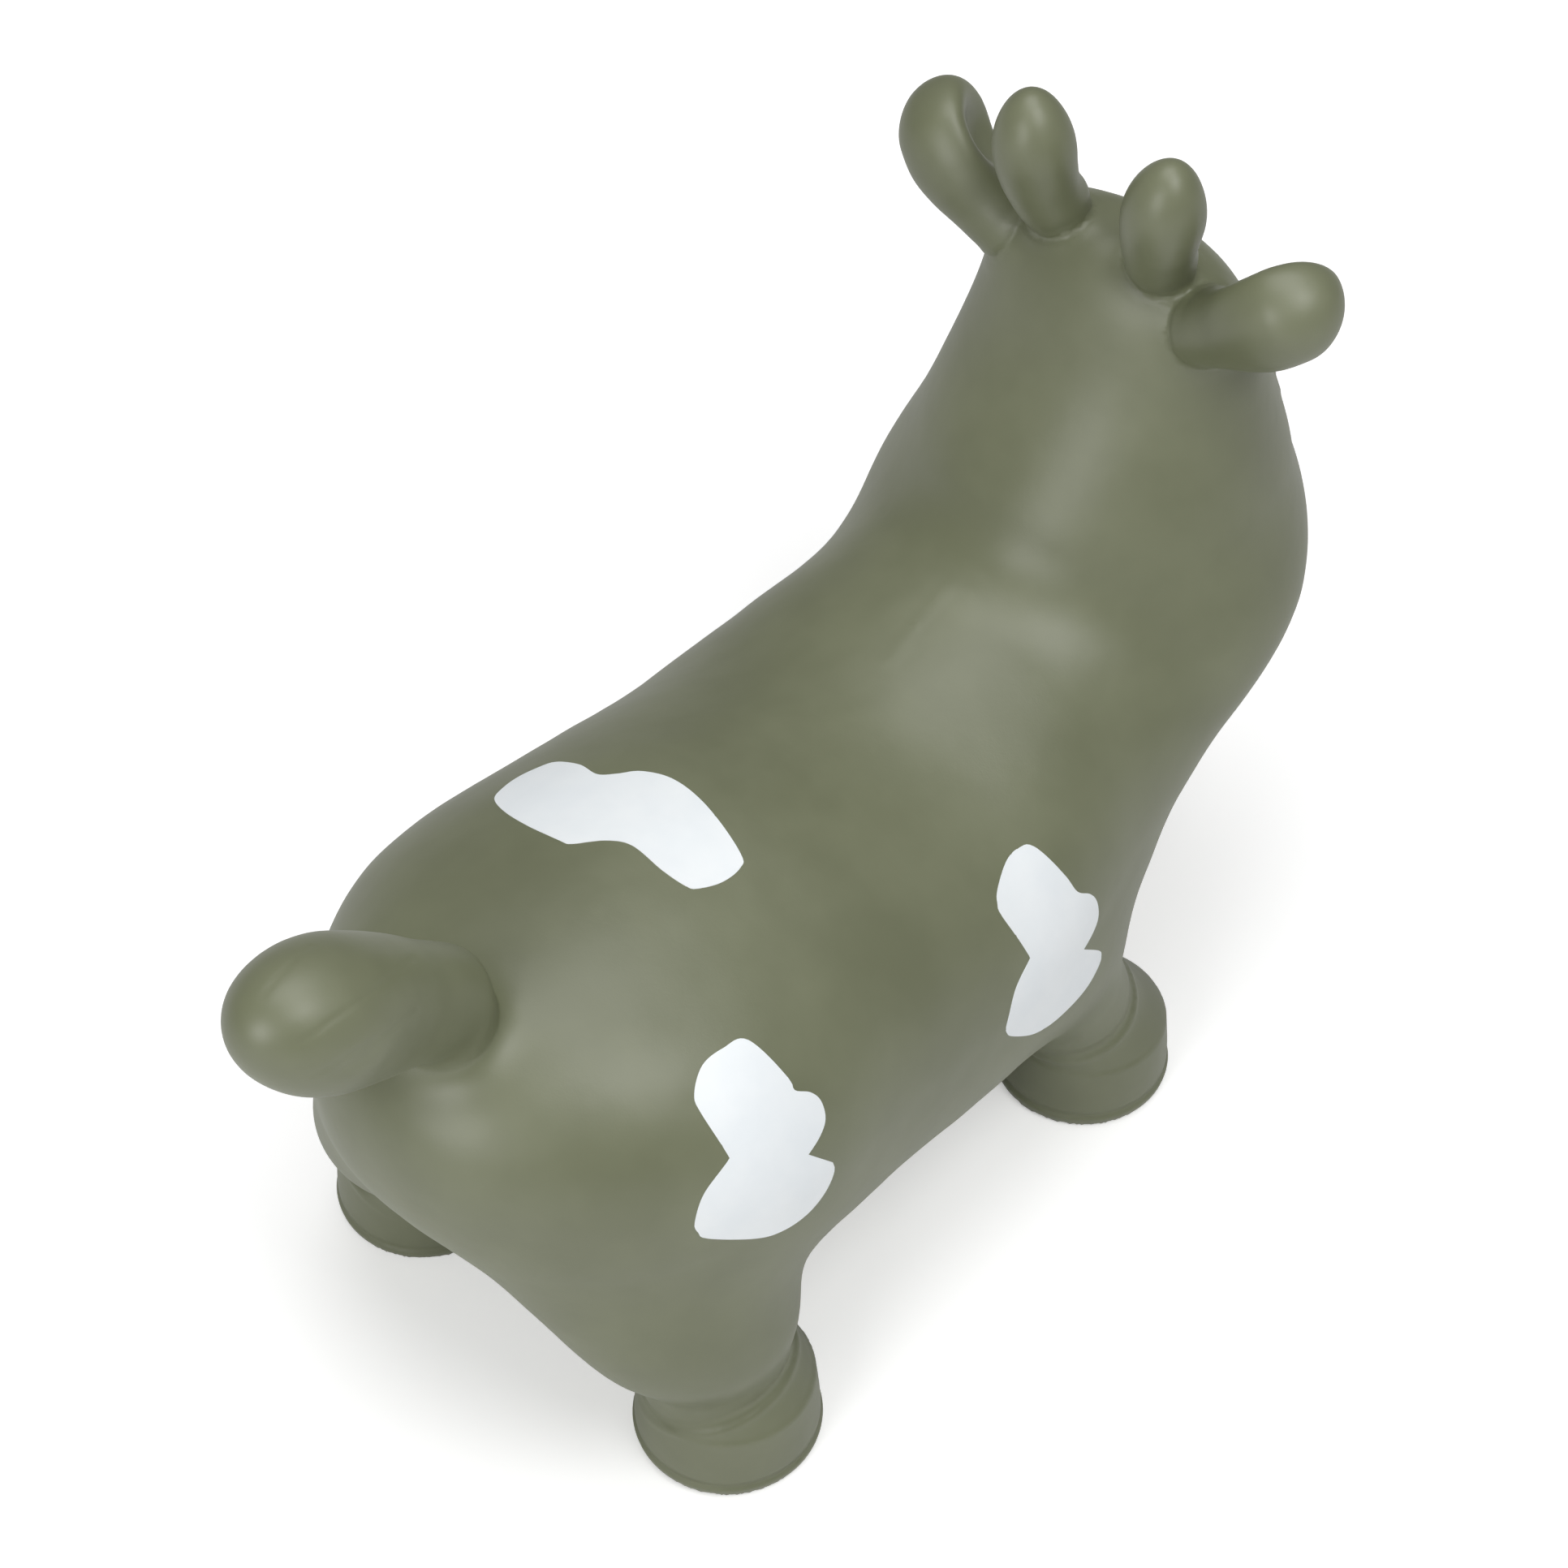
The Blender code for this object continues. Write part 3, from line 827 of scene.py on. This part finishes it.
# A piece's faces: all that hang together with its tip, without crossing the seam
def floodFrom(shape, piece, number):
    tip, place, away = piece["tip"], piece["seam"], piece["away"]
    start = min(shape.faces, key=lambda item: (item.calc_center_median() - tip).length_squared)
    found, ahead = {start}, [start]
    while ahead:
        for edge in ahead.pop().edges:
            if edge.seam:
                continue
            for near in edge.link_faces:
                if near not in found and (near.calc_center_median() - place).dot(away) > 0:
                    found.add(near)
                    ahead.append(near)
    for item in found:
        item.material_index = number
    print("piece", number, len(found), "faces")


normalLayer = whole.verts.layers.float_vector.new("skinNormal")
pieces = []
for end in ends:
    for side in sides:
        place, normal = legSeam(end, side)
        foot = footOf(end, side)

        def belongs(point):
            wide, along = seams["leg"]["reach"]
            inside = abs(point.x - foot.x) < wide and abs(point.y - foot.y) < along
            return inside and point.z < seams["leg"]["top"]

        cutSkin(whole, place, normal, belongs)
        name = end + ("_left" if side > 0 else "_right")
        pieces.append({
            "name": "leg_and_hoof_" + name,
            "tip": foot,
            "bodies": ("feet", "torso"),
            "nodes": ("leg_" + name, "hoof_" + name),
            "start": place - normal * seams["leg"]["bend"],
            "end": place,
            "seam": place,
            "away": -normal,
        })
for name, limb, index, side in limbs:
    place, normal = limbSeam(name, limb, side)
    other = {"ear": "horn", "horn": "ear"}.get(name)

    def belongs(point):
        if (point - place).length > seams[name]["reach"]:
            return False
        own = trees[name][index].find_nearest(point)[3]
        return other is None or own < trees[other][index].find_nearest(point)[3] + seams["shared"]

    cutSkin(whole, place, normal, belongs)
    node = name if name == "tail" else name + ("_left" if side > 0 else "_right")
    tip = limbPath(limb, side, 1)[0] + Vector((0, 0, seams["tipUp"]))
    pieces.append({
        "name": node + "_skin",
        "tip": tip,
        "bodies": ("torso", seams[name]["body"][index]),
        "nodes": (node,),
        "start": place,
        "end": place + normal * seams[name]["bend"],
        "seam": place,
        "away": normal,
    })
for number, piece in enumerate(pieces):
    floodFrom(whole, piece, number + 1)
for vert in whole.verts:
    vert[normalLayer] = vert.normal


def takePiece(shape, number):
    part = shape.copy()
    others = [item for item in part.faces if item.material_index != number]
    bmesh.ops.delete(part, geom=others, context="FACES")
    bmesh.ops.holes_fill(part, edges=[edge for edge in part.edges if edge.is_boundary], sides=0)
    bmesh.ops.recalc_face_normals(part, faces=part.faces)
    for item in part.faces:
        item.material_index = 0
    return part


def tint(hexColour):
    values = [int(hexColour[n : n + 2], 16) / 255 for n in (1, 3, 5)]
    return (*[v / 12.92 if v < 0.04045 else ((v + 0.055) / 1.055) ** 2.4 for v in values], 1.0)


# Add a shader node, set its sockets and properties, and link sockets into it
def addNode(material, kind, settings=None, links=None):
    node = material.node_tree.nodes.new(kind)
    for name, value in (settings or {}).items():
        if name in node.inputs:
            node.inputs[name].default_value = value
        else:
            setattr(node, name, value)
    for name, source in (links or {}).items():
        material.node_tree.links.new(source, node.inputs[name])
    return node


def newMaterial(name, colour, roughness, ior):
    material = bpy.data.materials.new(name)
    material.use_nodes = True
    shader = material.node_tree.nodes["Principled BSDF"]
    shader.inputs["Base Color"].default_value = tint(colour)
    shader.inputs["Roughness"].default_value = roughness
    shader.inputs["IOR"].default_value = ior
    return material, shader


# Natural rubber, cast in a mould: a satin skin, faintly clouded where the mould let the colour drift,
# with a fine dull grain. The grain is really finer and is drawn at 0.8 mm so that it shows.
rubber = {
    "light": "#70745A", "dark": "#686C52", "roughness": 0.44, "ior": 1.64,
    "cloudMm": 55.0, "grainMm": 0.8, "grainHeight": 0.03, "dimpleMm": 9.0, "dimpleHeight": 0.10,
}
mottle = {"darkAt": 0.36, "lightAt": 0.66, "glossier": 0.03, "rougher": 0.04}


# Clouds of two near colours and slightly unlike gloss, over a fine grain and shallow dimples
def mottled(name, finish):
    material, shader = newMaterial(name, finish["light"], finish["roughness"], finish["ior"])
    place = {"Vector": addNode(material, "ShaderNodeTexCoord").outputs["Object"]}
    scale = {kind: 1 / (finish[kind + "Mm"] * mm) for kind in ("cloud", "grain", "dimple")}
    noise3d = "ShaderNodeTexNoise"
    cloud = addNode(material, noise3d, {"Scale": scale["cloud"], "Detail": 3.0, "Roughness": 0.55}, place)
    ramp = addNode(material, "ShaderNodeValToRGB", None, {"Fac": cloud.outputs["Fac"]})
    ramp.color_ramp.elements[0].position = mottle["darkAt"]
    ramp.color_ramp.elements[0].color = tint(finish["dark"])
    ramp.color_ramp.elements[1].position = mottle["lightAt"]
    ramp.color_ramp.elements[1].color = tint(finish["light"])
    grain = addNode(material, noise3d, {"Scale": scale["grain"], "Detail": 2.0}, place)
    dimple = addNode(material, noise3d, {"Scale": scale["dimple"], "Detail": 2.0}, place)
    fineBump = addNode(
        material,
        "ShaderNodeBump",
        {"Strength": 1.0, "Distance": finish["grainHeight"] * mm},
        {"Height": grain.outputs["Fac"]},
    )
    bump = addNode(
        material,
        "ShaderNodeBump",
        {"Strength": 1.0, "Distance": finish["dimpleHeight"] * mm},
        {"Height": dimple.outputs["Fac"], "Normal": fineBump.outputs["Normal"]},
    )
    limits = {
        "To Min": finish["roughness"] - mottle["glossier"],
        "To Max": finish["roughness"] + mottle["rougher"],
    }
    gloss = addNode(material, "ShaderNodeMapRange", limits, {"Value": cloud.outputs["Fac"]})
    links = material.node_tree.links
    links.new(ramp.outputs["Color"], shader.inputs["Base Color"])
    links.new(gloss.outputs["Result"], shader.inputs["Roughness"])
    links.new(bump.outputs["Normal"], shader.inputs["Normal"])
    return material


rubberSkin = mottled("moulded_olive_rubber", rubber)


def finishMesh(shape, name, material, keepNormals=False):
    mesh = bpy.data.meshes.new(name)
    shape.to_mesh(mesh)
    shape.free()
    mesh.shade_smooth()
    if keepNormals:
        layer = mesh.attributes["skinNormal"]
        normals = [tuple(item.vector) for item in layer.data]
        mesh.attributes.remove(layer)
        mesh.normals_split_custom_set_from_vertices(normals)
    mesh.materials.append(material)
    item = bpy.data.objects.new(name, mesh)
    scene.collection.objects.link(item)
    return item


torsoSkin = finishMesh(takePiece(whole, 0), "torso_skin", rubberSkin, True)
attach(torsoSkin, "torso")
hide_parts("body", "head")
for number, piece in enumerate(pieces):
    item = finishMesh(takePiece(whole, number + 1), piece["name"], rubberSkin, True)
    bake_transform(item)
    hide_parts(*piece["nodes"])
print("skin cut into", 1 + len(pieces), "pieces")


# Painted patches: outlines in millimetres on a plane, laid on the skin. A doubled point is a sharp
# corner. On the left, which the photograph doesn't show, the side spots lie lower and turned.
paint = {
    "spot": "#EEF2F4", "spotDark": "#E9EEF1", "roughness": 0.42,
    "eye": "#17181A", "eyeRoughness": 0.18, "glint": "#F2F2F0", "glintRoughness": 0.25, "ior": 1.5,
    "proud": 0.13, "sink": 0.30, "meshMm": 2.0, "weldMm": 0.2, "sliverMm": 0.05, "stepMm": 1.4,
    "castFrom": 0.03, "cornerPull": 0.8, "sharp": 0.9,
}
spots = {
    "spot_rump": {
        "middle": (14.2, 81.3, 255.7), "out": (0.096, -0.090, 0.991), "sides": (1,),
        "outline": [
            (17.3, -61.6), (8, -65.5), (-1.8, -66), (-11, -62.5), (-15.9, -58), (-17, -45), (-14.5, -32.4),
            (-19, -25), (-26.1, -17.6), (-30.4, -3.2), (-27.8, 17.6), (-19.5, 43.9), (-14, 48.9),
            (-3, 49.2), (7.3, 45.4), (10.3, 41.5), (11.6, 29.5), (10.7, 11.9), (15.9, 1.9),
            (25.7, -7.1), (27.2, -12.5), (27.2, -31.3), (24, -48),
        ],
    },
    "spot_flank": {
        "middle": (109.1, 136.4, 205.7), "out": (0.865, 0.134, 0.483), "sides": (-1, 1),
        "leftMiddle": (121, 118, 150), "leftOut": (0.99, 0.06, 0.1),
        "outline": [
            (-14.9, -38), (-20.8, -16.8), (-20.6, -11.3), (-26.5, -6), (-29.1, 0.1), (-27.5, 7.9),
            (-22, 12.5), (-13.7, 15.8), (-13.7, 15.8), (-23.6, 28.2), (-23.6, 28.2), (-23.4, 33.2),
            (-17, 41), (-7.1, 45.9), (5, 45.8), (16.5, 41), (35.7, 26.3), (38.9, 20.5), (39.2, 14.2),
            (32.4, 3.2), (17.7, -5.3), (17.7, -5.3), (18.8, -26.9), (16.8, -34.7), (7.5, -41.2),
            (-4, -41.5),
        ],
    },
    "spot_shoulder": {
        "middle": (112.7, -42.1, 172.1), "out": (0.944, -0.088, 0.319), "sides": (-1, 1),
        "leftMiddle": (112, -24, 150), "leftOut": (0.99, -0.02, 0.12),
        "outline": [
            (-11.4, -42.6), (-17.4, -24.7), (-20.1, -14.4), (-27, -8), (-30.4, -1.4), (-30, 7.5),
            (-25, 12.5), (-16.9, 15.7), (-16.9, 15.7), (-29.5, 27), (-31, 31.5), (-29, 35.6),
            (-18, 41.5), (-1.5, 42.6), (11, 40.5), (21.7, 35.5), (35, 24.9), (39.2, 19.5), (39.6, 13.6),
            (31.4, 0.6), (17.9, -6.7), (17.9, -6.7), (21.6, -30.1), (20, -36), (15.8, -39.9),
            (3.6, -45.4), (-5, -46),
        ],
    },
}
skinTree = BVHTree.FromBMesh(whole)

# Flexible white toy paint, sprayed through a mask: an even satin film that follows the rubber's dimples
spotPaint = mottled("sprayed_white_toy_paint", {
    "light": paint["spot"], "dark": paint["spotDark"], "roughness": paint["roughness"], "ior": paint["ior"],
    "cloudMm": 30.0, "grainMm": 0.8, "grainHeight": 0.02, "dimpleMm": 9.0, "dimpleHeight": 0.08,
})


# A closed curve through the outline's points, with short straight steps
def curveThrough(points):
    count = len(points)
    drawn = []
    for index in range(count):
        before, start, stop, after = (Vector(points[(index + n) % count]) for n in (-1, 0, 1, 2))
        length = (stop - start).length
        if length < 0.01:
            continue
        cornered = (stop - start) * paint["cornerPull"]
        leave = (stop - before) / 2 if (start - before).length > 0.01 else cornered
        arrive = (after - start) / 2 if (after - stop).length > 0.01 else cornered
        steps = max(int(length / paint["stepMm"]), 1)
        for step in range(steps):
            t = step / steps
            chord = start * (2 * t ** 3 - 3 * t * t + 1) + stop * (3 * t * t - 2 * t ** 3)
            drawn.append(chord + leave * (t ** 3 - 2 * t * t + t) + arrive * (t ** 3 - t * t))
    return drawn


def markCorners(shape, angle):
    for edge in shape.edges:
        if len(edge.link_faces) == 2 and edge.calc_face_angle() > angle:
            edge.smooth = False


def layPatch(name, outline, middle, out, across, material, proud):
    down = out.cross(across)
    shape = bmesh.new()
    verts = [shape.verts.new((point.x * mm, point.y * mm, 0)) for point in curveThrough(outline)]
    shape.faces.new(verts)
    for axis in (0, 1):
        values = [vert.co[axis] for vert in verts]
        step = paint["meshMm"] * mm
        for line in range(int(min(values) / step), int(max(values) / step) + 1):
            normal = Vector((1 - axis, axis, 0))
            everything = shape.verts[:] + shape.edges[:] + shape.faces[:]
            place = normal * line * step
            bmesh.ops.bisect_plane(shape, geom=everything, dist=tiny, plane_co=place, plane_no=normal)
    bmesh.ops.remove_doubles(shape, verts=shape.verts, dist=paint["weldMm"] * mm)
    bmesh.ops.dissolve_degenerate(shape, edges=shape.edges, dist=paint["sliverMm"] * mm)
    bmesh.ops.triangulate(shape, faces=[item for item in shape.faces if len(item.verts) > 4])
    rise = shape.verts.layers.float_vector.new("rise")
    for vert in shape.verts:
        start = middle + across * vert.co.x + down * vert.co.y + out * paint["castFrom"]
        place, away = onSkin(skinTree.ray_cast(start, -out)[0], -paint["sink"] * mm)
        vert.co, vert[rise] = place, away * (proud + paint["sink"]) * mm
    made = bmesh.ops.extrude_face_region(shape, geom=shape.faces[:])["geom"]
    for item in made:
        if isinstance(item, bmesh.types.BMVert):
            item.co += item[rise]
    shape.verts.layers.float_vector.remove(rise)
    bmesh.ops.recalc_face_normals(shape, faces=shape.faces)
    markCorners(shape, paint["sharp"])
    item = finishMesh(shape, name, material)
    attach(item, "torso")
    return item


for name, spot in spots.items():
    for side in spot["sides"]:
        left = side > 0 and "leftMiddle" in spot
        middle = onSide(spot["leftMiddle" if left else "middle"], side) * mm
        out = onSide(spot["leftOut" if left else "out"], side).normalized()
        across = Vector((0, 0, 1) if left else (0, 1, 0))
        across = (across - out * out.dot(across)).normalized()
        label = name + ("" if len(spot["sides"]) == 1 else "_left" if side > 0 else "_right")
        layPatch(label, spot["outline"], middle, out, across, spotPaint, paint["proud"])


def oval(wide, high, count, across=0.0, down=0.0):
    turns = [index * math.tau / count for index in range(count)]
    return [(across + wide * math.cos(turn), down + high * math.sin(turn)) for turn in turns]


# Eyes in glossy black toy paint, each with a small white glint printed on it
eyePaint, eyeShader = newMaterial(
    "gloss_black_toy_paint", paint["eye"], paint["eyeRoughness"], paint["ior"]
)
glintPaint, glintShader = newMaterial(
    "gloss_white_toy_paint", paint["glint"], paint["glintRoughness"], paint["ior"]
)
for side, (place, out, across, up) in zip(("left", "right"), eyes):
    layPatch("eye_" + side, oval(*face["eyeSize"], 16), place, out, across, eyePaint, paint["proud"])
    glint = oval(*face["glintSize"], 8, *face["glintAt"])
    proud = paint["proud"] + face["glintProud"]
    layPatch("eye_glint_" + side, glint, place, out, across, glintPaint, proud)
print("spots and eyes painted")


# Valve: a soft seat moulded into the belly and a stopper with a bar to pull, as radius and height in
# millimetres above the belly's skin
valve["seat"] = [
    (16.6, 1.2), (16.6, 0.0), (16.3, -0.7), (15.6, -1.0), (12.0, -1.1), (11.0, -0.9), (10.3, -0.3),
    (9.9, 0.6), (9.7, 2.2), (9.3, 2.6), (7.4, 2.7), (6.8, 3.0), (6.6, 3.6), (6.6, 12.4), (0.0, 12.4),
    (0.0, 13.6), (8.0, 13.6), (8.2, 4.4), (11.4, 3.4), (11.6, 1.2),
]
valve["plug"] = [
    (0.0, 11.4), (5.2, 11.4), (5.8, 11.0), (6.0, 10.2), (5.7, 9.4), (5.7, 3.2), (6.1, 2.6), (8.6, 2.3),
    (9.1, 1.9), (9.2, 0.4), (8.9, -0.4), (8.0, -0.9), (4.5, -1.3), (0.0, -1.4),
]
valve["bar"] = {"size": (12.0, 3.0, 3.6), "round": 0.9, "down": 1.0}
valve["steps"] = 72
valve["sharp"] = 0.8

# Injection-moulded polyethylene: milky white, with a soft sheen
plugPlastic = mottled("moulded_white_valve_plastic", {
    "light": "#E3E2DC", "dark": "#DAD9D2", "roughness": 0.40, "ior": 1.49,
    "cloudMm": 12.0, "grainMm": 0.5, "grainHeight": 0.01, "dimpleMm": 4.0, "dimpleHeight": 0.02,
})


def spinProfile(points, closed):
    shape = bmesh.new()
    middle = Vector((*valve["place"], belly))
    verts = [shape.verts.new(middle + Vector((x * mm, 0, z * mm))) for x, z in points]
    edges = [shape.edges.new(pair) for pair in zip(verts, verts[1:] + (verts[:1] if closed else []))]
    bmesh.ops.spin(
        shape, geom=verts + edges, cent=middle, axis=(0, 0, 1), angle=math.tau, steps=valve["steps"],
        use_merge=True,
    )
    bmesh.ops.remove_doubles(shape, verts=shape.verts, dist=tiny)
    bmesh.ops.recalc_face_normals(shape, faces=shape.faces)
    return shape


def makeValve():
    shape = spinProfile(valve["seat"], True)
    markCorners(shape, valve["sharp"])
    seat = finishMesh(shape, "valve_seat_flange", rubberSkin)
    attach(seat, "torso")
    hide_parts("valve_seat")
    shape = spinProfile(valve["plug"], False)
    size = Vector(valve["bar"]["size"]) * mm
    middle = Vector((*valve["place"], belly - valve["bar"]["down"] * mm - size.z / 2))
    place = Matrix.Translation(middle) @ Matrix.Diagonal((*size, 1))
    made = bmesh.ops.create_cube(shape, size=1, matrix=place)["verts"]
    edges = list({edge for vert in made for edge in vert.link_edges})
    bmesh.ops.bevel(
        shape, geom=edges, offset=valve["bar"]["round"] * mm, offset_type="OFFSET", segments=4,
        profile=0.5, affect="EDGES", material=-1, clamp_overlap=True,
    )
    markCorners(shape, valve["sharp"])
    plug = finishMesh(shape, "valve_stopper", plugPlastic)
    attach(plug, "plug")
    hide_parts("valve_plug")


makeValve()
print("valve fitted")


# Room: a pale floor that is white where it lies open, three soft lamps and an even white sky. The
# camera sees floor and sky as plain white, and a mirrored ray sees them a little darker.
room = {
    "floorSize": 6.0,
    "floor": "#F4F4F4",
    "floorRoughness": 0.9,
    "floorIor": 1.45,
    "floorGlow": 0.38,
    "floorGloss": 0.3,
    "fadeFrom": 0.55,
    "fadeTo": 1.5,
    "skyStrength": 0.31,
    "skyGloss": 0.25,
    "lamps": {
        "overhead": {"place": (0.10, -0.08, 1.9), "aim": (0, 0, 0.2), "size": 1.3, "power": 11.5},
        "high_right": {"place": (-1.0, 0.15, 1.75), "aim": (0, 0, 0.25), "size": 0.9, "power": 12.0},
        "low_behind": {"place": (-0.22, 1.6, 0.95), "aim": (0, 0, 0.25), "size": 0.9, "power": 10.0},
    },
}


def makeSky():
    world = bpy.data.worlds.new("sky")
    scene.world = world
    world.use_nodes = True
    links = world.node_tree.links
    seen = addNode(world, "ShaderNodeLightPath").outputs
    mirrored = addNode(
        world,
        "ShaderNodeMapRange",
        {"To Min": room["skyStrength"], "To Max": room["skyGloss"]},
        {"Value": seen["Is Glossy Ray"]},
    )
    strength = addNode(world, "ShaderNodeMath", {"operation": "MAXIMUM"})
    links.new(mirrored.outputs["Result"], strength.inputs[0])
    links.new(seen["Is Camera Ray"], strength.inputs[1])
    sky = world.node_tree.nodes["Background"]
    sky.inputs["Color"].default_value = (1, 1, 1, 1)
    links.new(strength.outputs[0], sky.inputs["Strength"])


def makeFloor():
    shape = bmesh.new()
    bmesh.ops.create_grid(shape, x_segments=1, y_segments=1, size=room["floorSize"] / 2)
    material, shader = newMaterial(
        "pale_painted_floor", room["floor"], room["floorRoughness"], room["floorIor"]
    )
    seen = addNode(material, "ShaderNodeLightPath").outputs
    mirrored = addNode(material, "ShaderNodeMath", {"operation": "MULTIPLY"})
    white = addNode(material, "ShaderNodeMath", {"operation": "MAXIMUM"})
    links = material.node_tree.links
    links.new(seen["Is Glossy Ray"], mirrored.inputs[0])
    mirrored.inputs[1].default_value = room["floorGloss"]
    links.new(seen["Is Camera Ray"], white.inputs[0])
    links.new(mirrored.outputs[0], white.inputs[1])
    glow = addNode(material, "ShaderNodeEmission", {"Color": (1, 1, 1, 1)})
    place = addNode(material, "ShaderNodeTexCoord").outputs["Object"]
    away = addNode(material, "ShaderNodeVectorMath", {"operation": "LENGTH"})
    links.new(place, away.inputs[0])
    fade = addNode(
        material,
        "ShaderNodeMapRange",
        {
            "From Min": room["fadeFrom"],
            "From Max": room["fadeTo"],
            "To Min": room["floorGlow"],
            "To Max": 1.0,
        },
        {"Value": away.outputs["Value"]},
    )
    level = addNode(material, "ShaderNodeMath", {"operation": "MULTIPLY"})
    links.new(white.outputs[0], level.inputs[0])
    links.new(fade.outputs["Result"], level.inputs[1])
    links.new(level.outputs[0], glow.inputs["Strength"])
    both = addNode(material, "ShaderNodeAddShader")
    links.new(shader.outputs[0], both.inputs[0])
    links.new(glow.outputs[0], both.inputs[1])
    links.new(both.outputs[0], material.node_tree.nodes["Material Output"].inputs["Surface"])
    finishMesh(shape, "floor", material)


def makeLamps():
    for name, lamp in room["lamps"].items():
        light = bpy.data.lights.new(name, "AREA")
        light.shape = "DISK"
        light.size = lamp["size"]
        light.energy = lamp["power"]
        item = bpy.data.objects.new(name, light)
        scene.collection.objects.link(item)
        item.location = lamp["place"]
        away = Vector(lamp["place"]) - Vector(lamp["aim"])
        item.rotation_euler = away.to_track_quat("Z", "Y").to_euler()


makeSky()
makeFloor()
makeLamps()
scene.view_settings.view_transform = "Standard"
print("room lit")
